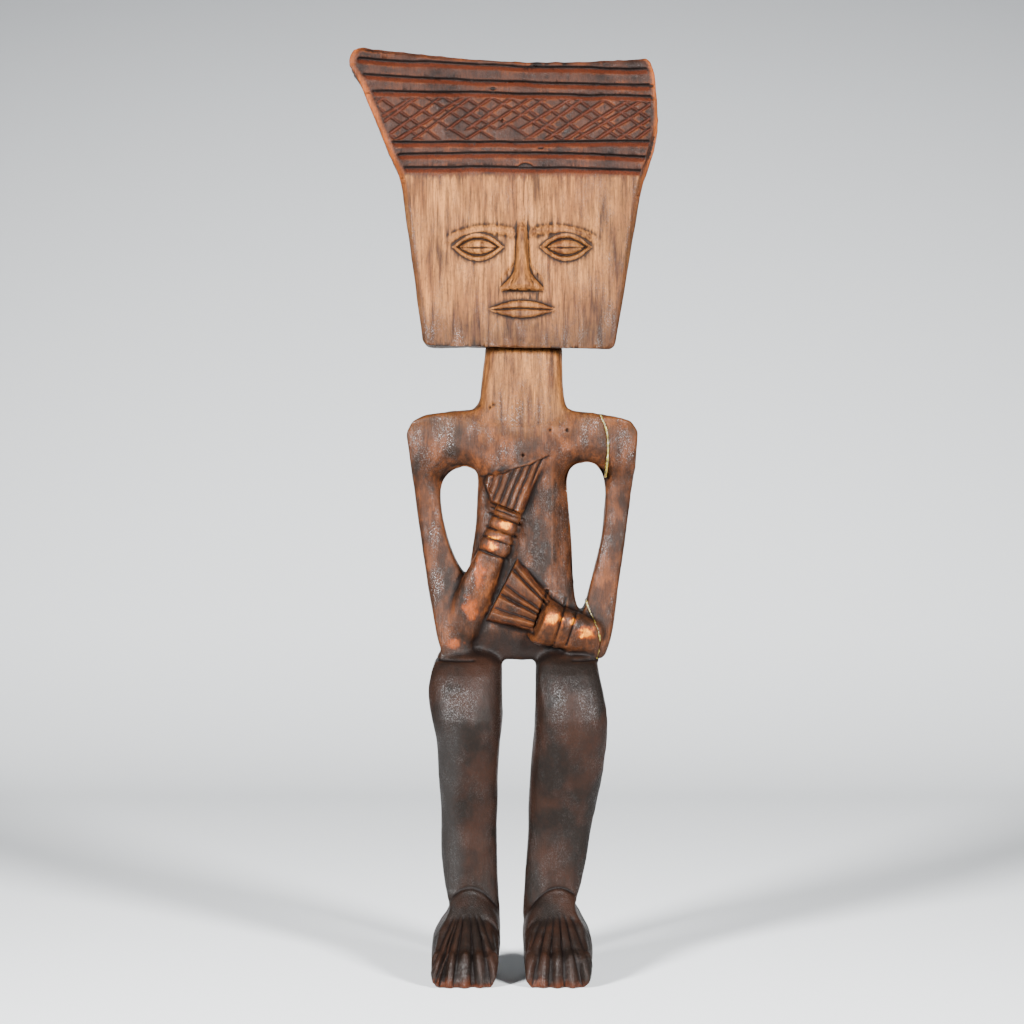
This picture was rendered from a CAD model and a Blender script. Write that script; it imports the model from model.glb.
# %% [markdown]
# # A carved wooden figure
# The real figure is cut from dark hardwood with an adze and a knife, rubbed with oil and soot, and then
# handled for years. Five pieces make it: the body, the head on its neck tenon, the left upper arm that
# split off, and the two lines of glue that hold the arm.
# The exact solids are loaded first. They give every size and place that follows.

# %% Load the solids
import math

import bpy
import numpy as np
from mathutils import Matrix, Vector


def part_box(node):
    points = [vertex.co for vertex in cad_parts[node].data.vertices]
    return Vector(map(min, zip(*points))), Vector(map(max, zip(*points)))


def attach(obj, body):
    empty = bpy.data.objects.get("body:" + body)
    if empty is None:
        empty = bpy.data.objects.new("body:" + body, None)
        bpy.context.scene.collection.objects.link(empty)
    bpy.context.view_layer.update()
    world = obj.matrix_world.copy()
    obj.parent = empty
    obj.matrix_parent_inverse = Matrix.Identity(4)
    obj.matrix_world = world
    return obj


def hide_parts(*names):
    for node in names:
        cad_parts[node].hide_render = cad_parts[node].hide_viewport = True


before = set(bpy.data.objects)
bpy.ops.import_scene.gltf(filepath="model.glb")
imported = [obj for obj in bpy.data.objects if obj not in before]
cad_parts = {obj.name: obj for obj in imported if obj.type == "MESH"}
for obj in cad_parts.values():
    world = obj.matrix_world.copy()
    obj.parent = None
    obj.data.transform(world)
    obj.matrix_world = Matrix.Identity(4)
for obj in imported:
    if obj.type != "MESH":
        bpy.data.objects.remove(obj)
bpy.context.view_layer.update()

# %% [markdown]
# The carver's drawing frame has its zero on the neck's line, in millimetres. Three faces of the head
# block, whose drawing sizes are known, tell where that frame lies in the scene.

# %% The drawing frame
MM = 0.001
HEAD_RIGHT, HEAD_BACK, HEAD_UNDERSIDE = 67.8, 26.0, 313.5
head_low, head_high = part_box("head_block")
DRAWING = np.array([
    head_high.x - HEAD_RIGHT * MM,
    head_high.y - HEAD_BACK * MM,
    head_low.z - HEAD_UNDERSIDE * MM,
])


def place(x, y, z):
    """A drawing point in millimetres as a scene point in metres."""
    return Vector(DRAWING + np.array([x, y, z]) * MM)


print("drawing zero", (DRAWING * 1000).round(2), "mm")

# %% [markdown]
# The camera stands in front at chest height, a metre and a half away, with a long lens and no tilt, so
# that upright edges stay upright. A small shift of the lens puts the whole figure in view.

# %% Camera
def add_camera(where, view_angle):
    camera = bpy.data.objects.new("camera", bpy.data.cameras.new("camera"))
    bpy.context.scene.collection.objects.link(camera)
    camera.location = where
    camera.rotation_euler = (math.radians(90), 0, 0)
    camera.data.angle = math.radians(view_angle)
    camera.data.clip_start = 0.01
    bpy.context.scene.camera = camera
    return camera


VIEW_DISTANCE, EYE_HEIGHT, VIEW_ANGLE = 1500.0, 270.0, 19.37
camera = add_camera(place(0, -VIEW_DISTANCE, EYE_HEIGHT), VIEW_ANGLE)
camera.data.shift_x, camera.data.shift_y = -0.0078, -0.0732
print("camera", camera.location)

# %% [markdown]
# A few helpers do what a hand would do again and again: select one piece, apply a modifier, and copy a
# solid so that the copy can be carved.

# %% Handling pieces
def pick(piece):
    bpy.ops.object.select_all(action="DESELECT")
    piece.select_set(True)
    bpy.context.view_layer.objects.active = piece


def apply_modifier(piece, kind, **settings):
    pick(piece)
    modifier = piece.modifiers.new(kind.lower(), kind)
    for name, value in settings.items():
        setattr(modifier, name, value)
    bpy.ops.object.modifier_apply(modifier=modifier.name)


def rough_out(nodes, name, voxel_mm):
    """Copies of one or more solids as one block, cut into even little squares that can be carved."""
    copies = []
    for node in nodes:
        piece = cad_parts[node].copy()
        piece.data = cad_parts[node].data.copy()
        piece.parent = None
        piece.matrix_world.identity()
        bpy.context.scene.collection.objects.link(piece)
        copies.append(piece)
    pick(piece)
    for other in copies:
        other.select_set(True)
    bpy.ops.object.join()
    piece.name = piece.data.name = name
    pick(piece)
    bpy.ops.object.mode_set(mode="EDIT")
    bpy.ops.mesh.select_all(action="SELECT")
    bpy.ops.mesh.remove_doubles(threshold=1e-6)
    bpy.ops.object.mode_set(mode="OBJECT")
    apply_modifier(piece, "REMESH", mode="VOXEL", voxel_size=voxel_mm * MM)
    print(name, "roughed out with", len(piece.data.polygons), "faces")
    return piece


# %% [markdown]
# Carving moves thousands of points at once, so the points are read into an array. The skin also knows
# each point's neighbours, which gives smoothing, and how sharply the surface bends.

# %% The skin of a piece
class Skin:
    def __init__(self, piece):
        self.mesh = piece.data
        self.size = len(self.mesh.vertices)
        flat = np.empty(self.size * 3)
        self.mesh.vertices.foreach_get("co", flat)
        self.p = (flat.reshape(-1, 3) - DRAWING) / MM
        ends = np.empty(len(self.mesh.edges) * 2, dtype=np.int64)
        self.mesh.edges.foreach_get("vertices", ends)
        self.a, self.b = ends.reshape(-1, 2).T
        self.links = np.bincount(self.a, minlength=self.size) + np.bincount(self.b, minlength=self.size)

    def mean(self, values):
        """Each point's neighbours averaged."""
        if values.ndim == 2:
            return np.stack([self.mean(column) for column in values.T], axis=1)
        return self.around(values[self.b], values[self.a]) / self.links

    def around(self, from_b, from_a):
        """Adds up at each point what comes to it along its edges."""
        return np.bincount(self.a, from_b, self.size) + np.bincount(self.b, from_a, self.size)

    def blur(self, values, times):
        for _ in range(times):
            values = (values + self.mean(values)) / 2
        return values

    def ease(self, times, weight=1.0):
        """Smooths without shrinking: a step in, then a slightly longer step out."""
        weight = np.broadcast_to(weight, self.size)[:, None]
        for _ in range(times):
            self.p += 0.5 * weight * (self.mean(self.p) - self.p)
            self.p -= 0.515 * weight * (self.mean(self.p) - self.p)

    def write(self):
        self.mesh.vertices.foreach_set("co", (self.p * MM + DRAWING).ravel())
        self.mesh.update()

    def normals(self):
        self.write()
        flat = np.empty(self.size * 3)
        self.mesh.vertices.foreach_get("normal", flat)
        return flat.reshape(-1, 3)

    def bend(self, times):
        """How much the surface bends outwards, in 1/mm, averaged over a patch."""
        n = self.normals()
        step = self.p[self.b] - self.p[self.a]
        turn = ((n[self.b] - n[self.a]) * step).sum(1) / np.maximum((step * step).sum(1), 1e-4)
        return self.blur(self.around(turn, turn) / self.links, times)

    def store(self, name, values):
        layer = self.mesh.attributes.get(name) or self.mesh.attributes.new(name, "FLOAT", "POINT")
        layer.data.foreach_set("value", np.clip(values, 0, 1).astype(np.float32))


# %% [markdown]
# Nothing cut by hand is even. Two kinds of seeded randomness give that: soft waves, and the shallow
# scoops that a knife leaves side by side.

# %% Randomness of the hand
def lattice(ix, iy, iz, seed):
    h = (ix * 73856093) ^ (iy * 19349663) ^ (iz * 83492791) ^ (seed * 40503)
    h = (h ^ (h >> 13)) * 1274126177
    return ((h ^ (h >> 16)) & 0xFFFF) / 65535


def waves(p, size, seed):
    """Smooth random heights from -1 to 1. Size is how far apart they are, one number or three."""
    q = p / np.asarray(size, dtype=float)
    cell = np.floor(q).astype(np.int64)
    f = q - cell
    f = f * f * (3 - 2 * f)
    total = np.zeros(len(p))
    for corner in range(8):
        d = np.array([corner & 1, (corner >> 1) & 1, (corner >> 2) & 1])
        w = np.prod(np.where(d, f, 1 - f), axis=1)
        total += w * lattice(*(cell + d).T, seed)
    return 2 * total - 1


def scoops(p, size, seed):
    """0 in the middle of each knife scoop, rising to about 1 where two scoops meet."""
    q = p / np.asarray(size, dtype=float)
    cell = np.floor(q).astype(np.int64)
    nearest = np.full(len(p), 9.0)
    for corner in range(27):
        d = np.array([corner % 3, corner // 3 % 3, corner // 9]) - 1
        at = cell + d
        middle = at + np.stack([lattice(*at.T, seed + k) for k in range(3)], axis=1)
        nearest = np.minimum(nearest, ((q - middle) ** 2).sum(1))
    return nearest


def ramp(value, low, high):
    """0 below low, 1 above high, smooth between. The two may be swapped."""
    t = np.clip((value - low) / (high - low), 0, 1)
    return t * t * (3 - 2 * t)


def hump(value, width):
    """1 at zero, falling smoothly to 0 on both sides."""
    return np.exp(-((value / width) ** 2))


# %% [markdown]
# The head block is roughed out from its solid. Its front is planed flat first, because the rings, the
# hatching and the face are then cut fresh, by hand and a little uneven, as on the real block.

# %% Plane the head's front
FRONT_Y, BRIM_Z, HAT_LEAN_TOP, HAT_LEAN = -26.0, 400.5, 452.0, 3.0
EDGE_STRIP, TOP_STRIP = 3.3, 1.5
ROOM_AT_LEFT, COLUMNS = 100, 300


def head_front(z):
    return FRONT_Y + HAT_LEAN * np.clip((z - BRIM_Z) / (HAT_LEAN_TOP - BRIM_Z), 0, 1.3)


head = rough_out(["head_block"], "carved_head", 0.62)
skin = Skin(head)
level = np.round(skin.p[:, 2]).astype(int)
left_edge = np.full(level.max() + 1, 999.0)
right_edge = -left_edge
np.minimum.at(left_edge, level, skin.p[:, 0])
np.maximum.at(right_edge, level, skin.p[:, 0])
column = np.round(skin.p[:, 0]).astype(int) + ROOM_AT_LEFT
top_edge = np.full(COLUMNS, -999.0)
np.maximum.at(top_edge, column, skin.p[:, 2])


def margins(p):
    """How far a front point is from the head's left, right and top edges."""
    row = np.clip(np.round(p[:, 2]).astype(int), 0, len(left_edge) - 1)
    column = np.clip(np.round(p[:, 0]).astype(int) + ROOM_AT_LEFT, 0, COLUMNS - 1)
    return p[:, 0] - left_edge[row], right_edge[row] - p[:, 0], top_edge[column] - p[:, 2]


def on_front(p):
    from_left, from_right, from_top = margins(p)
    inside = np.minimum(np.minimum(from_left, from_right) - EDGE_STRIP, from_top - TOP_STRIP)
    return (inside > 0) & (p[:, 1] < head_front(p[:, 2]) + 2.6)


planed = on_front(skin.p)
skin.p[planed, 1] = head_front(skin.p[planed, 2])
skin.ease(6, np.where(planed, 0.0, 1.0))
skin.write()
print("planed", planed.sum(), "points")

# %% [markdown]
# A knife works finest where the eye looks first. The squares of the planed front are halved, so that
# grooves a millimetre wide stay crisp.

# %% Finer squares where the fine cuts go
def refine(piece, chosen):
    """Halves the squares of a piece wherever all their corners are chosen."""
    pick(piece)
    bpy.ops.object.mode_set(mode="EDIT")
    bpy.ops.mesh.select_mode(type="VERT")
    bpy.ops.mesh.select_all(action="DESELECT")
    bpy.ops.object.mode_set(mode="OBJECT")
    piece.data.vertices.foreach_set("select", chosen)
    bpy.ops.object.mode_set(mode="EDIT")
    bpy.ops.mesh.subdivide(number_cuts=1)
    bpy.ops.object.mode_set(mode="OBJECT")
    print(piece.name, "now has", len(piece.data.polygons), "faces")
    return Skin(piece)


skin = refine(head, planed)
front = on_front(skin.p)
x, y, z = skin.p.T

# %% [markdown]
# The hat's three rings above and three below are cut with a gouge held from below. The upper wall of each
# groove is steep and stays in shadow, the lower wall is long and catches the light.

# %% Cut the hat's rings
RING_STATIONS = [-75, 0, 66]
RINGS = [
    (455.3, 451.9, 450.4), (447.4, 444.0, 442.5), (439.6, 438.3, 436.6),
    (414.0, 414.3, 414.5), (407.6, 408.6, 407.1), (401.2, 401.7, 399.5),
]
STEEP_WALL, LONG_WALL, RING_DEPTH = 0.9, 2.4, 1.6
from_left, from_right, from_top = margins(skin.p)
ends = ramp(from_left, EDGE_STRIP, EDGE_STRIP + 2) * ramp(from_right, 0.6, 2)
cut, warm, shade = np.zeros((3, skin.size))


def ring_height(heights):
    return np.polyval(np.polyfit(RING_STATIONS, heights, 2), x)


for number, heights in enumerate(RINGS):
    middle = ring_height(heights) + 0.35 * waves(skin.p * [1, 0, 0], 11, number)
    above = z - middle - 0.6
    reach = np.minimum(1 - above / STEEP_WALL, 1 + above / LONG_WALL)
    depth = RING_DEPTH + 0.3 * waves(skin.p * [1, 0, 0], 23, 20 + number)
    groove = ends * depth * np.clip(reach, 0, 1)
    cut = np.maximum(cut, groove)
    warm = np.maximum(warm, ends * ramp(above, 0.0, -0.5) * ramp(above, -2.7, -2.0))
    shade = np.maximum(shade, ends * ramp(above, -0.5, 0.1) * ramp(above, 1.5, 0.8))
print("rings cut", round(float(cut[front].max()), 2), "mm deep")

# %% [markdown]
# Two families of straight cuts cross on the broad band. The falling ones came first and are weaker, the
# rising ones were cut last and are clean.

# %% Cut the hatching
BAND_LOW, BAND_HIGH, BELOW_RING = 416.3, 437.0, 1.6
hand = np.random.RandomState(5)
band_top = ring_height(RINGS[2]) - BELOW_RING
in_band = ramp(z, BAND_LOW - 0.4, BAND_LOW + 0.3) * ramp(z, band_top + 0.4, band_top - 0.3) * ends
FALLING, RISING = (-1, -88, 10.6, 16, 0.8, 0.6), (1, -106, 9.0, 20, 1.0, 0.9)
for rise, first, pitch, count, depth, warmth in (FALLING, RISING):
    for i in range(count):
        start = first + pitch * i + hand.uniform(-2.2, 2.2)
        angle = math.radians(hand.uniform(31, 37))
        low, high = (BAND_LOW, BAND_HIGH) if hand.uniform() < 0.7 else (BAND_LOW + 5, BAND_HIGH)
        base = BAND_LOW if rise > 0 else BAND_HIGH
        across = (x - start) * math.sin(angle) - rise * (z - base) * math.cos(angle)
        across = across + 0.25 * waves(skin.p, 9, 40 + i)
        width = hand.uniform(0.8, 1.05)
        length = in_band * ramp(z, low - 1, low + 1) * ramp(z, high + 1, high - 1)
        reach = length * (1 - np.clip(np.abs(across) / width, 0, 1) ** 1.4)
        cut = np.maximum(cut, depth * hand.uniform(0.8, 1.1) * reach)
        older = 1 - ramp(reach, 0.1, 0.6)
        warm = np.maximum(warm * older, warmth * ramp(reach, 0.15, 0.6))
        shade = np.maximum(shade * older, 0.8 * length * hump(across + width, 0.4))
print("hatching has", FALLING[3] + RISING[3], "cuts")

# %% [markdown]
# Use left its marks on the hat: a shallow notch over the brow, an insect's exit hole and two small chips.
# With these, all the cuts go into the front at once.

# %% Notch, hole and chips
NOTCH_X, NOTCH_Z, HOLE_X, HOLE_Z = 2.7, 401.4, -8.8, 425.8
notch = ((x - NOTCH_X) / 4.2) ** 2 + ((z - NOTCH_Z) / 3.3) ** 2
cut = np.maximum(cut, 0.8 * ramp(notch, 1.15, 0.85) * (z > 401))
cut = np.maximum(cut, 1.6 * ramp(np.hypot(x - HOLE_X, z - HOLE_Z), 0.95, 0.6))
for chip_x, chip_z in [(-13.3, 441.5), (10.3, 412.5)]:
    near = np.hypot((x - chip_x) / 1.6, (z - chip_z) / 1.1)
    cut = np.maximum(cut, 0.5 * ramp(near, 1.2, 0.5))
skin.p[front, 1] += cut[front]
print("deepest cut", round(float(cut[front].max()), 2), "mm")

# %% [markdown]
# The face is a calm one on plain proportions. Brow, nose base and chin divide it in thirds, and it is five
# eye widths across. Each feature stands a few millimetres proud of the planed panel.

# %% Raise the face
FACE_X, THIRD, EYE_WIDTH = 1.0, 29.0, 21.6
BROW_Z, NOSE_Z = BRIM_Z - THIRD, BRIM_Z - 2 * THIRD
MOUTH_Z, EYE_Z, CHIN_Z = NOSE_Z - THIRD / 3, BRIM_Z - 1.28 * THIRD, HEAD_UNDERSIDE + 6.5


def almond(dx, dz, width, height):
    """How far a point lies inside a lens shape, in mm, negative outside."""
    return height / 2 * (1 - (2 * dx / width) ** 2) - np.abs(dz)


def nose(dx, dz):
    up = dz / (BROW_Z + 4 - NOSE_Z)
    half = 2.7 + 1.5 * (1 - up) + 6.6 * hump(up, 0.17)
    across = np.clip(np.abs(dx) / half, 0, 1)
    height = (2.2 + 5.6 * np.clip(1 - up, 0, 1)) * (1 - 0.25 * hump(up, 0.05))
    wing = 0.7 * hump(np.abs(dx) - 0.6 * half, 0.9) * ramp(up, 0.3, 0.1)
    body = height * (1 - across ** 1.7) ** 0.8 - wing * (across < 1)
    return body * ramp(up, -0.03, 0.015) * ramp(up, 1.06, 0.85)


def eye(dx, dz):
    inside = almond(dx, dz, EYE_WIDTH, 10)
    lid = 1.15 * hump(inside + 0.7, 1.0)
    trench = 1.0 * hump(inside - 1.0, 0.7)
    ball = 1.1 * ramp(inside, 1.0, 4.0)
    slit = 0.9 * hump(dz + 0.4, 0.5) * ramp(inside, 0.4, 1.4)
    return lid + ball - trench - slit


def mouth(dx, dz):
    inside = almond(dx, dz, 1.5 * EYE_WIDTH, 8.6)
    bow = 0.5 * hump(dx, 3.0)
    lips = (1.5 - 0.5 * bow * (dz > 0)) * ramp(inside, -0.5, 1.3)
    parting = dz - 0.35 * np.cos(dx / 5)
    return lips - 1.6 * hump(parting, 0.6) * ramp(inside, -0.2, 1.2)


dx, dz = x - FACE_X, z
side = np.abs(dx) - EYE_WIDTH
brow_line = BROW_Z + 0.6 - 0.012 * (np.abs(dx) - 16) ** 2
brow = 1.3 * hump(dz - brow_line, 1.9) * ramp(np.abs(dx), 40, 32) * ramp(np.abs(dx), 2, 6)
socket = 0.9 * hump(side, 13) * hump(dz - EYE_Z, 7)
chin = 0.9 * hump(dx, 15) * hump(dz - CHIN_Z, 5)
lift = nose(dx, dz - NOSE_Z) + brow + chin - socket + eye(side, dz - EYE_Z) + mouth(dx, dz - MOUTH_Z)
lift = lift * front * (z < BRIM_Z - 3)
skin.p[:, 1] -= lift
print("nose stands", round(float(lift.max()), 1), "mm proud")

# %% [markdown]
# No plane left by hand is quite flat. Shallow scoops and slow waves go over the whole block, and fine
# upright marks over the flat strips. Where the surface bends outwards it has worn light, and where it
# bends inwards soot has stayed. Both are kept with each point for the wood's colour.

# %% Hand marks and age on the head
skin.ease(1, np.where(front, 0.5, 1.0))
normals = skin.normals()
hand_marks = 0.22 * waves(skin.p, 21, 3) + 0.13 * waves(skin.p, [2.2, 6, 17], 4)
hand_marks += 0.16 * ramp(scoops(skin.p, [7, 7, 12], 9), 0.1, 0.9) * np.where(front, 0.5, 1.6)
hand_marks += 0.05 * waves(skin.p, [0.8, 2, 9], 12) * front
hand_marks += 0.22 * waves(skin.p, [4, 4, 3], 13) * ramp(z, BRIM_Z, BRIM_Z + 8)
skin.p += normals * hand_marks[:, None]


def age(skin):
    """How worn and how sooty each point is."""
    fine, broad = skin.bend(2), skin.bend(14)
    wear = ramp(fine + 0.6 * broad, 0.14, 0.55) * ramp(waves(skin.p, [5, 5, 9], 50), -0.8, 0.8)
    cavity = ramp(-fine - 0.9 * broad, 0.03, 0.28)
    return wear, cavity


wear, cavity = age(skin)
hat = ramp(z + 0.3 * waves(skin.p, 8, 60), BRIM_Z - 2.5, BRIM_Z - 0.5)
from_left, from_right, from_top = margins(skin.p)
left_rim = ramp(from_left, 3.8, 1.5) * (y < -18)
groove = front * np.maximum(warm, shade)
cavity = np.maximum(cavity * (1 - groove), shade * front)
wear = wear * (1 - 0.7 * groove) * np.where(hat > 0.5, 1, 0.55)
pale = (1 - hat) * (1 - 0.75 * ramp(z + 4 * waves(skin.p, 9, 61), 342, 320))
pale *= (1 - 0.4 * ramp(x + 5 * waves(skin.p, 13, 62), 22, 46)) * np.where(front, 1, 0.35)
skin.store("wear", wear)
skin.store("cavity", cavity)
skin.store("hat", hat)
skin.store("pale", pale)
skin.store("cut", warm * front * (1 - shade))
right_rim = ramp(from_right, 2.5, 0.8) * (y < -19)
skin.store("edge", np.maximum(left_rim, right_rim) * ramp(z, BRIM_Z - 20, BRIM_Z + 5))
skin.write()
print("worn", round(float(wear.mean()), 3), "sooty", round(float(cavity.mean()), 3))

# %% [markdown]
# The finished head is thinned to fewer faces, which keeps them small only where the surface turns. Then it
# takes the place of its solid.

# %% Finish a piece
FACE_LIMIT = 185000


def settle(piece, node):
    triangles = sum(len(face.vertices) - 2 for face in piece.data.polygons)
    if triangles > FACE_LIMIT:
        apply_modifier(piece, "DECIMATE", ratio=FACE_LIMIT / triangles)
    pick(piece)
    bpy.ops.object.shade_smooth()
    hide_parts(node)
    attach(piece, "root")
    print(piece.name, "settled with", len(piece.data.polygons), "faces")


settle(head, "head_block")

# %% [markdown]
# The body, the broken arm and their glue are carved as they once were, in one piece. The break is sawn
# again at the end. A first coarse pass with wide squares eases away the flat facets of the solids. It
# also takes a little off the neck's top, which is given back.

# %% Rough out the body with its arm
WHOLE = ["carved_body", "left_upper_arm", "shoulder_glue", "elbow_glue"]
body = rough_out(WHOLE, "carved_figure_body", 1.25)
skin = Skin(body)
x, y, z = skin.p.T
neck_top = 0.97 * ramp(z, 298, 306)
right_forearm = ramp(np.hypot((x + 8) / 15, (z - 206) / 42), 1.25, 1.0)
left_forearm = ramp(np.hypot((x - 14) / 24, (z - 180) / 14), 1.2, 1.0)
forearms = np.maximum(right_forearm, left_forearm) * ramp(y, -10, -14)
skin.ease(28, (1 - neck_top) * (1 - 0.85 * forearms))
upper_arms = ramp(np.abs(x - 3), 35, 42) * ramp(z, 215, 235) * ramp(z, 281, 272)
skin.p[:, 1] += upper_arms * (skin.blur(skin.p[:, 1], 160) - skin.p[:, 1])
skin.write()
apply_modifier(body, "REMESH", mode="VOXEL", voxel_size=0.66 * MM)
skin = Skin(body)
skin.ease(5)
NECK_EASED_AWAY = 0.45
skin.p[:, 2] += NECK_EASED_AWAY * ramp(skin.p[:, 2], 306, 311.5)
skin.write()
print("body block has", skin.size, "points")

# %% [markdown]
# The hands and the toes get the finest cuts of the body, so their squares are halved too.

# %% Finer squares on the hands and feet
x, y, z = skin.p.T
facing = skin.normals()[:, 1] < -0.1
hands = facing & (y < -10) & (x > -34) & (x < 34) & (z > 163) & (z < 262)
toes = (y < -14) & (z < 50)
skin = refine(body, hands | toes)
x, y, z = skin.p.T
facing = ramp(skin.normals()[:, 1], 0.15, -0.35)

# %% [markdown]
# The right forearm leans across the belly. Seen along it, every band and finger is straight, so a point is
# measured along the arm from the cuff and across it. The hand is a plate that dips towards the chest, with
# parallel fingers parted by narrow V-cuts, and the chest stands proud of the finger tips.

# %% Carve the right hand and its bracelets
def turned(dx, dz, degrees):
    """Along and across a line that leans to the right of upright."""
    c, s = math.cos(math.radians(degrees)), math.sin(math.radians(degrees))
    return dx * s + dz * c, dx * c - dz * s


LEDGE_X = [-24, -18, -13, -7, -3, 4, 10, 14]
LEDGE_Z = [250.5, 251, 251, 252.2, 254.3, 256, 258.8, 261]


def ledge_line(x):
    return np.interp(x, LEDGE_X, LEDGE_Z)


def fingers(t, sharp=1.5):
    """1 on the crest of each finger and 0 in the cut, t counts the fingers."""
    return 1 - np.abs(2 * (t - np.floor(t)) - 1) ** sharp


def set_front(skin, where, depth):
    """Moves front points to a given depth, blending at the edge of the region."""
    where = where * facing
    skin.p[:, 1] += where * (depth - skin.p[:, 1])


def cut_bands(skin, along, bands, where):
    """Cuts round grooves across an arm, each with its place along it, width and depth."""
    grooves = [depth * hump(along - middle, width) for middle, width, depth in bands]
    skin.p[:, 1] += np.max(grooves, axis=0) * where


CUFF_X, CUFF_Z = -6.4, 232.5
RIGHT_BANDS = [(-0.2, 0.8, 0.8), (-3.3, 0.8, 1.3), (-9.7, 0.8, 1.3), (-14.4, 0.6, 0.9), (-21.6, 0.8, 1.1)]
along, across = turned(x - CUFF_X, z - CUFF_Z, 22)
left_side = np.interp(along, [0, 10], [-7.3, -16.0])
hand_area = ramp(across, left_side - 0.5, left_side + 0.8) * ramp(across, 6.9, 5.9)
hand_area *= ramp(along, 1.6, 3.0) * ramp(z, ledge_line(x) + 0.5, ledge_line(x) - 0.4)
crest = fingers((across - 6.2) / 3.8 + 8 + 0.08 * waves(skin.p, 9, 70))
plate = np.interp(along, [2, 10, 26], [-21.4, -20.6, -16.4])
set_front(skin, hand_area, plate - 1.5 * crest + 0.006 * (across + 3) ** 2)
proud = ramp(z, ledge_line(x) - 0.3, ledge_line(x) + 0.7) * ramp(z, ledge_line(x) + 14, ledge_line(x) + 3)
proud *= ramp(x, -26, -20) * ramp(x, 16, 9) * facing
skin.p[:, 1] -= 1.1 * proud
fore_along, fore_across = turned(x - CUFF_X, z - CUFF_Z, 20.3)
on_forearm = ramp(np.abs(fore_across), 9.5, 7.0) * facing * ramp(y, -12, -15)
cut_bands(skin, fore_along, RIGHT_BANDS, on_forearm * ramp(fore_along, 3, 1))
right_hand_cut = hand_area * ramp(crest, 0.45, 0.1)
print("right hand carved")

# %% [markdown]
# The left hand fans out from its wrist and slips behind the right forearm. Every finger has a sharp crest
# on its upper side and a long soft face below it.

# %% Carve the left hand and its bracelets
FAN_X, FAN_Z, WRIST_X, WRIST_Z = 28.0, 172.0, 10.4, 183.0
VALLEYS = [10, 19, 28.5, 35.5, 46, 51.5]
CRESTS = [14.7, 25.7, 32.2, 43.7, 49]
LEFT_BANDS = [(0.4, 1.0, 2.0), (-10.2, 0.9, 1.5), (-16.6, 0.8, 1.1)]
reach = np.hypot(FAN_X - x, z - FAN_Z)
angle = np.degrees(np.arctan2(z - FAN_Z, FAN_X - x))
heights = [0, 1] * len(CRESTS) + [0]
angles = sorted(VALLEYS + CRESTS)
crest = np.interp(angle + 0.5 * waves(skin.p, 8, 72), angles, heights) ** 0.8
forearm_edge = np.interp(z, [160, 170, 178.6, 209, 230], [-26, -21, -17.6, -2.1, 7])
fan_area = ramp(reach, 20.6, 22) * ramp(angle, 8.5, 10.5) * ramp(angle, 53, 51)
fan_area *= ramp(x, forearm_edge, forearm_edge + 1)
plate = np.interp(reach, [20, 30, 44], [-20.4, -19.0, -15.6])
set_front(skin, fan_area, plate - 2.1 * crest)
left_along, left_across = turned(x - WRIST_X, z - WRIST_Z, -72.5)
on_wrist = ramp(np.abs(left_across), 12.5, 10.5) * facing * ramp(y, -11, -14)
cut_bands(skin, left_along, LEFT_BANDS, on_wrist)
left_hand_cut = fan_area * ramp(crest, 0.4, 0.05)
print("left hand carved")

# %% [markdown]
# The toes are a fan of cuts from the instep to the ground. Above the instep a knife line parts the foot
# from the leg, and the instep stands a little proud of it.

# %% Carve the feet
FEET = [
    (-25.8, [-0.46, -0.35, -0.30, -0.15, 0.08, 0.27, 0.42]),
    (18.0, [-0.45, -0.27, -0.09, 0.09, 0.27, 0.46]),
]
SOLE_Z = 1.5
toe_cut = np.zeros(skin.size)
for foot_x, cuts in FEET:
    mine = (z < 52) & (np.abs(x - foot_x) < 21) & (y < -4)
    fan = (x - foot_x) / np.maximum(48 - z, 4)
    number = np.interp(fan + 0.012 * waves(skin.p, 7, 80), cuts, np.arange(len(cuts)))
    crest = fingers(number, 1.4)
    fade = ramp(z + 3 * waves(skin.p * [1, 1, 0], 5, 81), 36, 22) * ramp(y, -14, -18) * mine
    skin.p[:, 1] += fade * 2.0 * (1 - crest)
    toe_cut = np.maximum(toe_cut, fade * ramp(crest, 0.5, 0.1))
    above = z - 45 + 0.058 * (x - foot_x - 1) ** 2
    front_only = ramp(y, 0, -4) * facing * mine
    instep = 1.2 * ramp(above, 0.7, -0.5) * ramp(above, -14, -3)
    skin.p[:, 1] -= front_only * (instep - 0.35 * hump(above - 0.8, 0.8))
skin.p[:, 2] = np.maximum(skin.p[:, 2], SOLE_Z)
print("feet carved")

# %% [markdown]
# Above each arm opening the shoulder is hollowed back to the hole, and the trunk turns from its front plane
# to its left side along one soft ridge. The elbows rest on the thighs with a cut line between. Insects
# left five small exit holes in the neck and chest.

# %% Hollow the shoulders, turn the trunk
ARM_OPENINGS = [(-30.0, 246.0), (33.0, 247.5)]
OPENING_RADIUS, HOLLOW_WIDTH, HOLLOW_DEPTH = 10.3, 9.0, 4.6
EXIT_HOLES = [(-14.8, 284.8), (-13.3, 285.8), (14.8, 273.5), (23.2, 273.5), (1.5, 261)]
ELBOWS_X, THIGH_LINE_Z = (-33, 36), 159.8
x, y, z = skin.p.T
for hole_x, hole_z in ARM_OPENINGS:
    away = (np.hypot(x - hole_x, np.maximum(z - hole_z, 0)) - OPENING_RADIUS) / HOLLOW_WIDTH
    hollow = HOLLOW_DEPTH * np.clip(1 - away, 0, 1) ** 2 * ramp(z, hole_z - 8, hole_z + 4)
    skin.p[:, 1] += hollow * facing * (z > hole_z - 9) * (np.abs(x - hole_x) < 22)
turn_away = 0.45 * np.clip(x - 16, 0, 12) + 0.12 * np.clip(16 - x, 0, 9) - 0.4 * hump(x - 16, 2)
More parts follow.
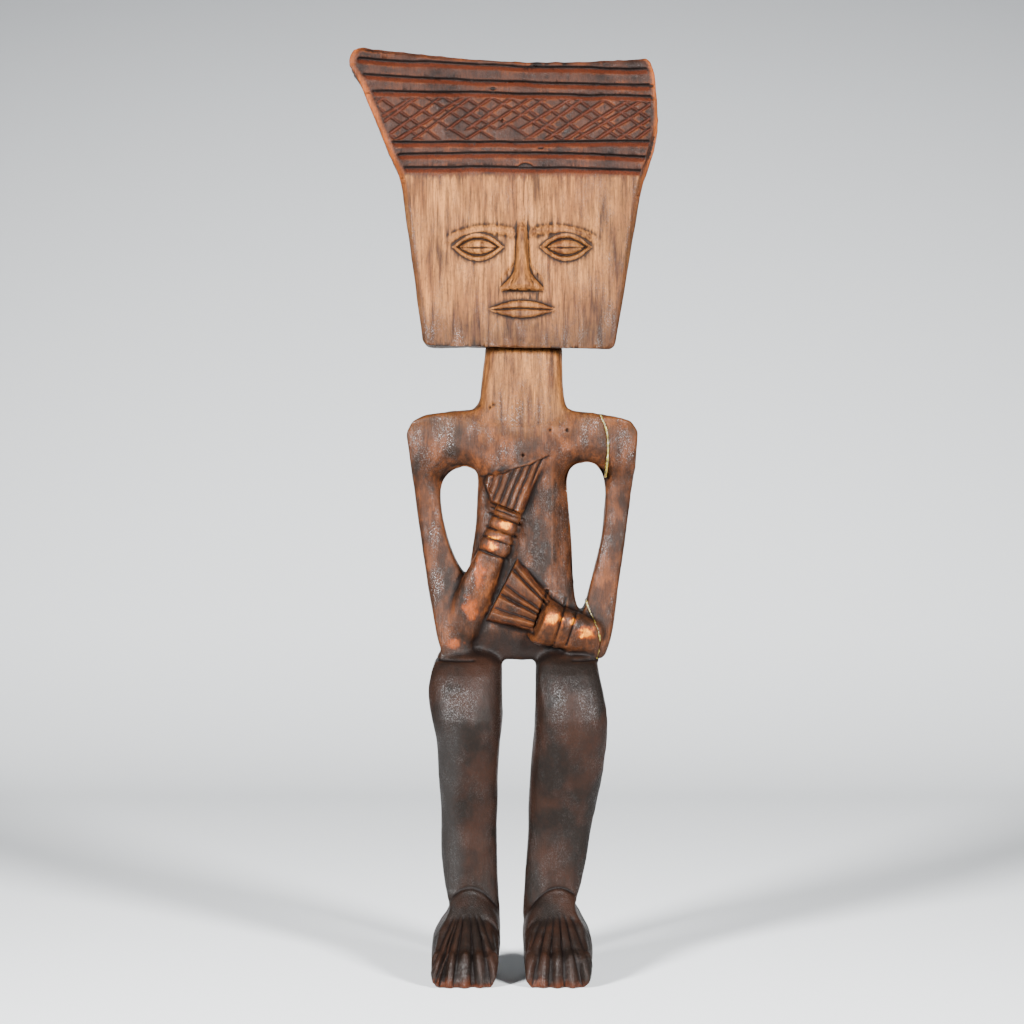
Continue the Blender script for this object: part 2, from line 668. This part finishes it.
trunk_part = ramp(z, 185, 212) * ramp(z, 264, 248) * ramp(x, 2, 13) * ramp(x, 32, 29) * facing
skin.p[:, 1] += turn_away * trunk_part
for side_x in ELBOWS_X:
    line = hump(z - THIGH_LINE_Z, 0.6) * ramp(np.abs(x - side_x), 12, 9)
    skin.p += (0.8 * line)[:, None] * -skin.normals()
for hole_x, hole_z in EXIT_HOLES:
    skin.p[:, 1] += 1.5 * ramp(np.hypot(x - hole_x, z - hole_z), 1.0, 0.5) * facing
print("trunk turned")

# %% [markdown]
# Legs and arms were pared with a knife in long strokes, which leaves soft facets along them. Then the whole
# surface gets its marks of wear and soot.

# %% Hand marks and age on the body
fine_area = np.maximum(np.maximum(hand_area, fan_area), toe_cut)
normals = skin.normals()
strokes = 0.42 * ramp(scoops(skin.p, [8, 9, 22], 21), 0.1, 0.9)
strokes += 0.45 * waves(skin.p, 24, 22) + 0.1 * waves(skin.p, [3, 3, 9], 23)
strokes *= 1 - 0.8 * ramp(fine_area, 0.1, 0.6)
skin.p += normals * strokes[:, None]
skin.ease(1)
wear, cavity = age(skin)
x, y, z = skin.p.T
wear *= 1 - 0.92 * ramp(z, 60, 40)
lap = ramp(z, 178, 168) * ramp(z, 156, 160) * ramp(np.abs(x + 2), 30, 18) * ramp(y, -19, -15)
cavity = np.maximum(cavity, 0.8 * lap)
skin.store("wear", wear)
skin.store("cavity", cavity)


def patch(cx, cz, rx, rz, seed):
    """A worn patch with a ragged edge, on the front."""
    far = np.hypot((x - cx) / rx, (z - cz) / rz)
    ragged = 0.45 * waves(skin.p, 3, seed) + 0.3 * waves(skin.p, 1.1, seed + 1)
    return ramp(far + ragged, 1.05, 0.4) * facing * (y < -6)


ON_BRACELETS = [
    (-7.2, 226.4, 3.4, 2.0), (-12.5, 220.5, 4.5, 1.1), (-13.2, 216.2, 3.6, 2.6),
    (16.4, 180.6, 4.6, 3.6), (25.5, 178.6, 2.3, 2.2), (32.5, 173.5, 5.2, 3.4),
]
ON_FOREARM = [(-19.5, 203, 3, 7), (-24.5, 186, 4, 6), (-33, 168, 5, 2.6)]
facing = ramp(skin.normals()[:, 1], 0.15, -0.35)
bright = np.zeros(skin.size)
for number, shape in enumerate(ON_BRACELETS + ON_FOREARM):
    strength = 0.35 if shape in ON_FOREARM else 1.0
    bright = np.maximum(bright, patch(*shape, 90 + number) * strength)
bright = np.maximum(bright, 0.1 * ramp(z + 3 * waves(skin.p, 5, 99), 7, 2) * (y < -30))
skin.store("bright", bright)
skin.store("legs", ramp(z + 3 * waves(skin.p, 12, 101), 172, 158))
neck = ramp(z + 5 * waves(skin.p, 14, 102), 260, 296) * (1 - 0.6 * ramp(np.abs(x - 1), 16, 28))
skin.store("pale", 0.75 * neck)
skin.store("cut", 0.6 * np.maximum(right_hand_cut, left_hand_cut))
skin.store("black", ramp(x + 4 * waves(skin.p, 15, 103), -26, -33) * ramp(z, 138, 118) * ramp(z, 30, 45))
skin.write()
print("body worn", round(float(wear.mean()), 3))

# %% [markdown]
# The old break is sawn again along its two lines. Each half is closed at the cut, where the grain tore.

# %% Part the broken arm
SHOULDER_BREAK = [(292, 39), (281, 40), (275, 42.5), (265, 43.8), (250, 42.5)]
ELBOW_BREAK = [(193, 31.5), (184, 34.5), (175, 38.5), (168, 39.7), (162, 38.7), (152, 35.5)]
THROUGH_OPENING = [(243, 35), (225, 34), (208, 31)]
THIGH_TOP_Z = 160.1


def break_x(z):
    heights, places = zip(*sorted(SHOULDER_BREAK + ELBOW_BREAK + THROUGH_OPENING))
    return np.interp(z, heights, places)


def saw(piece, keep_arm):
    """Deletes the other half's faces and closes the open edge."""
    half = Skin(piece)
    in_arm = (half.p[:, 0] > break_x(half.p[:, 2])) & (half.p[:, 2] > THIGH_TOP_Z)
    pick(piece)
    bpy.ops.object.mode_set(mode="EDIT")
    bpy.ops.mesh.select_all(action="DESELECT")
    bpy.ops.mesh.select_mode(type="VERT")
    bpy.ops.object.mode_set(mode="OBJECT")
    piece.data.vertices.foreach_set("select", ~in_arm if keep_arm else in_arm)
    bpy.ops.object.mode_set(mode="EDIT")
    bpy.ops.mesh.delete(type="VERT")
    bpy.ops.mesh.select_all(action="DESELECT")
    bpy.ops.mesh.select_non_manifold()
    bpy.ops.mesh.fill_holes(sides=0)
    bpy.ops.object.mode_set(mode="OBJECT")


arm = body.copy()
arm.data = body.data.copy()
arm.name = arm.data.name = "broken_left_arm"
bpy.context.scene.collection.objects.link(arm)
saw(body, keep_arm=False)
saw(arm, keep_arm=True)
settle(body, "carved_body")
settle(arm, "left_upper_arm")

# %% [markdown]
# Two beads of yellow glue fill the break. The glue was squeezed out and dried proud of the wood, so each
# bead is a wavy copy of its solid, a little thicker than the gap.

# %% The glue beads
for node in ("shoulder_glue", "elbow_glue"):
    bead = rough_out([node], node + "_bead", 0.3)
    skin = Skin(bead)
    skin.ease(4)
    swell = 0.2 + 0.25 * waves(skin.p, 3.2, 110) + 0.12 * waves(skin.p, 1.2, 111)
    skin.p += skin.normals() * swell[:, None]
    skin.write()
    settle(bead, node)

# %% [markdown]
# Materials are mixed from named colours. One helper turns a colour code into light values, and a small
# class adds a node with its settings and links in one line. Pattern sizes are real millimetres.

# %% Mixing tools
def colour(code):
    channels = [int(code[i:i + 2], 16) / 255 for i in (1, 3, 5)]
    return [((c + 0.055) / 1.055) ** 2.4 if c > 0.04045 else c / 12.92 for c in channels] + [1.0]


class Look:
    def __init__(self, name):
        self.material = bpy.data.materials.new(name)
        self.material.use_nodes = True
        self.tree = self.material.node_tree
        self.shader = self.tree.nodes["Principled BSDF"]

    def feed(self, socket, value):
        if isinstance(value, bpy.types.NodeSocket):
            self.tree.links.new(value, socket)
        elif isinstance(value, str):
            socket.default_value = colour(value)
        else:
            socket.default_value = value

    def node(self, kind, inputs, **settings):
        node = self.tree.nodes.new(kind)
        for name, value in settings.items():
            setattr(node, name, value)
        for key, value in inputs.items():
            self.feed(node.inputs[key], value)
        return node

    def kept(self, name):
        return self.node("ShaderNodeAttribute", {}, attribute_name=name).outputs["Fac"]

    def noise(self, size_mm, stretch=(1, 1, 1), detail=3.0, shift=0.0):
        where = self.node("ShaderNodeTexCoord", {}).outputs["Object"]
        scale = [1 / (size_mm * MM * s) for s in stretch]
        turned = self.node("ShaderNodeMapping", {"Vector": where, "Location": (shift,) * 3, "Scale": scale})
        inputs = {"Vector": turned.outputs[0], "Scale": 1.0, "Detail": detail, "Roughness": 0.6}
        return self.node("ShaderNodeTexNoise", inputs).outputs["Fac"]

    def spread(self, value, low, high, to_low=0.0, to_high=1.0):
        inputs = {"Value": value, "From Min": low, "From Max": high, "To Min": to_low, "To Max": to_high}
        return self.node("ShaderNodeMapRange", inputs).outputs["Result"]

    def times(self, a, b):
        return self.node("ShaderNodeMath", {0: a, 1: b}, operation="MULTIPLY").outputs[0]

    def plus(self, a, b):
        return self.node("ShaderNodeMath", {0: a, 1: b}, operation="ADD").outputs[0]

    def mix(self, amount, first, second):
        """Colour sockets of a mix node are the seventh and eighth, its colour result the third."""
        return self.node("ShaderNodeMix", {0: amount, 6: first, 7: second}, data_type="RGBA").outputs[2]


# %% [markdown]
# The wood is dark tropical hardwood. Oil and soot rubbed in for years make it nearly black in the cuts and
# glossy where hands touch it, and where edges wore down the orange heartwood shows again. Upright fibres
# streak the pale face and neck. The gloss is broken by open pores, which glint.

# %% Wood
def aged_wood(name, ground_dark, ground_light, gloss):
    look = Look(name)
    fibres = look.noise(0.5, (1, 1, 22), 4, 3)
    streaks = look.noise(2.6, (1, 1, 12), 4, 7)
    clouds = look.spread(look.noise(13, (1, 1, 1.8), 4, 11), 0.35, 0.65)
    specks = look.noise(1.1, (1, 1, 1.6), 3, 17)
    pores = look.noise(0.42, (1, 1, 1.7), 2, 23)
    wear, cavity, legs = look.kept("wear"), look.kept("cavity"), look.kept("legs")
    pale, hat = look.kept("pale"), look.kept("hat")

    base = look.mix(clouds, ground_dark, ground_light)
    mottles = look.spread(look.noise(4.5, (1, 1, 1.8), 4, 53), 0.44, 0.58, 0.6, 0.0)
    base = look.mix(mottles, base, "#0e0805")
    leg_wood = look.mix(look.spread(look.noise(17, (1, 1, 1.6), 4, 29), 0.42, 0.62), "#0d0907", "#1f110b")
    base = look.mix(legs, base, leg_wood)
    tan = look.mix(look.spread(streaks, 0.36, 0.66), "#38200e", "#956030")
    base = look.mix(pale, base, look.mix(look.spread(clouds, 0, 1, 0, 0.45), tan, "#552e15"))
    hat_wood = look.mix(clouds, "#140a07", "#331c13")
    base = look.mix(hat, base, hat_wood)
    base = look.mix(look.kept("black"), base, "#191716")
    fresh_cut = look.times(look.kept("cut"), look.spread(specks, 0.3, 0.6, 0.45, 0.95))
    base = look.mix(fresh_cut, base, "#40190b")
    rubbed = look.times(wear, look.spread(specks, 0.36, 0.6, 0.2, 0.9))
    base = look.mix(rubbed, base, look.mix(hat, "#4e290c", "#582a0e"))
    rim = look.times(look.kept("edge"), look.spread(clouds, 0, 1, 0.35, 0.9))
    base = look.mix(rim, base, "#7e3e14")
    bright = look.times(look.kept("bright"), look.spread(specks, 0.3, 0.55, 0.3, 1))
    base = look.mix(look.spread(bright, 0, 0.45), base, "#7c3606")
    base = look.mix(look.spread(bright, 0.35, 0.85), base, "#c97c0a")
    base = look.mix(look.spread(specks, 0.5, 0.68, 0, 0.35), base, "#1d1512")
    base = look.mix(look.spread(fibres, 0.32, 0.62, 0.5, 0.0), base, "#120b07")
    base = look.mix(look.times(cavity, 0.93), base, "#0a0605")
    look.feed(look.shader.inputs["Base Color"], base)

    polished = look.spread(look.noise(9, (1, 1, 2.5), 4, 37), 0.45, 0.65)
    polished = look.times(polished, look.spread(pores, 0.52, 0.6))
    polished = look.times(polished, look.spread(look.plus(pale, hat), 0, 1, 1, 0.3))
    polished = look.times(polished, look.spread(legs, 0, 1, 1, 0.6))
    polished = look.times(polished, look.spread(cavity, 0, 0.4, 1, 0))
    look.feed(look.shader.inputs["Roughness"], look.spread(polished, 0, 1, gloss + 0.14, gloss - 0.14))
    look.feed(look.shader.inputs["Specular IOR Level"], look.spread(polished, 0, 1, 0.08, 0.5))
    relief = look.plus(look.times(pores, 0.6), look.times(fibres, 0.5))
    bump = look.node("ShaderNodeBump", {"Height": relief, "Strength": 0.8, "Distance": 0.45 * MM})
    look.feed(look.shader.inputs["Normal"], bump.outputs[0])
    return look.material


def dress(piece, material):
    piece.data.materials.clear()
    piece.data.materials.append(material)


dress(head, aged_wood("oiled hardwood, head", "#1d110b", "#3e2416", 0.40))
for piece, where in ((body, "body"), (arm, "broken arm")):
    dress(piece, aged_wood("oiled hardwood, " + where, "#180e08", "#4e2912", 0.34))

# %% [markdown]
# The glue is a brittle yellow resin that has gone greenish and gathered dust, so it is a little see-through
# at its edge and glossy only in places.

# %% Glue
look = Look("dried yellow glue")
tint = look.spread(look.noise(1.6, (1, 1, 1), 3, 5), 0.35, 0.65)
look.feed(look.shader.inputs["Base Color"], look.mix(tint, "#2b220a", "#6b5d1c"))
look.feed(look.shader.inputs["Roughness"], 0.35)
look.feed(look.shader.inputs["Subsurface Weight"], 0.1)
for node in ("shoulder_glue", "elbow_glue"):
    dress(bpy.data.objects[node + "_bead"], look.material)
print("materials", [m.name for m in bpy.data.materials][-4:])

# %% [markdown]
# The figure stands on a sheet of paper that curves up into a backdrop, so that no horizon line shows. The
# flat floor is stretched first, and its back edge is then extruded along a quarter circle and straight up.

# %% Paper sweep
BEND_START, BEND_RADIUS, PAPER_TOP, PAPER_WIDTH, PAPER_FRONT = 0.75, 0.6, 3.0, 7.0, -2.5
bpy.ops.mesh.primitive_plane_add(size=1, location=(0, 0, 0))
floor = bpy.context.object
floor.name = "paper_sweep"
bpy.ops.object.mode_set(mode="EDIT")
bpy.ops.transform.resize(value=(PAPER_WIDTH, BEND_START - PAPER_FRONT, 1))
bpy.ops.transform.translate(value=(0, (BEND_START + PAPER_FRONT) / 2, 0))
bpy.ops.mesh.select_mode(type="EDGE")
bpy.ops.mesh.select_all(action="DESELECT")
bpy.ops.object.mode_set(mode="OBJECT")
for edge in floor.data.edges:
    edge.select = all(floor.data.vertices[i].co.y > BEND_START - 0.01 for i in edge.vertices)
bpy.ops.object.mode_set(mode="EDIT")
turns = np.linspace(0, math.pi / 2, 13)
arc = [(BEND_RADIUS * math.sin(turn), BEND_RADIUS * (1 - math.cos(turn))) for turn in turns]
arc.append((BEND_RADIUS, PAPER_TOP))
for (y0, z0), (y1, z1) in zip(arc, arc[1:]):
    bpy.ops.mesh.extrude_region_move(TRANSFORM_OT_translate={"value": (0, y1 - y0, z1 - z0)})
bpy.ops.object.mode_set(mode="OBJECT")
bpy.ops.object.shade_smooth()
print("paper rises to", PAPER_TOP, "m")

# %% [markdown]
# The paper is matt and pale. It is printed darker towards the top, which a colour mixed by height gives.

# %% Paper colour
look = Look("graded backdrop paper")
where = look.node("ShaderNodeTexCoord", {}).outputs["Object"]
up = look.node("ShaderNodeSeparateXYZ", {"Vector": where}).outputs["Z"]
look.feed(look.shader.inputs["Base Color"], look.mix(look.spread(up, 0.1, 0.75), "#f1f4f6", "#8b8d90"))
look.feed(look.shader.inputs["Roughness"], 0.8)
dress(floor, look.material)
print("paper dressed")

# %% [markdown]
# Two soft boxes stand left and right in front, just above head height, and throw two long pale shadows
# backwards. A narrow spread keeps their light on the figure, and a little air light fills the shadows.

# %% Lights
AIM_HEIGHT, LIGHT_SPREAD, AIR_LIGHT = 230, 75, 0.08


def soft_box(name, x, y, z, size, power):
    light = bpy.data.objects.new(name, bpy.data.lights.new(name, "AREA"))
    bpy.context.scene.collection.objects.link(light)
    light.location = place(x, y, z)
    light.rotation_euler = (place(0, 0, AIM_HEIGHT) - light.location).to_track_quat("-Z", "Y").to_euler()
    light.data.shape = "DISK"
    light.data.size = size * MM
    light.data.energy = power
    light.data.spread = math.radians(LIGHT_SPREAD)


soft_box("left soft box", -950, -1350, 600, 340, 25)
soft_box("right soft box", 950, -1350, 600, 340, 21)
world = bpy.data.worlds.new("studio air")
bpy.context.scene.world = world
world.use_nodes = True
air = world.node_tree.nodes["Background"]
air.inputs["Color"].default_value = colour("#dfe3e6")
air.inputs["Strength"].default_value = AIR_LIGHT
print("lights", [light.name for light in bpy.data.lights])
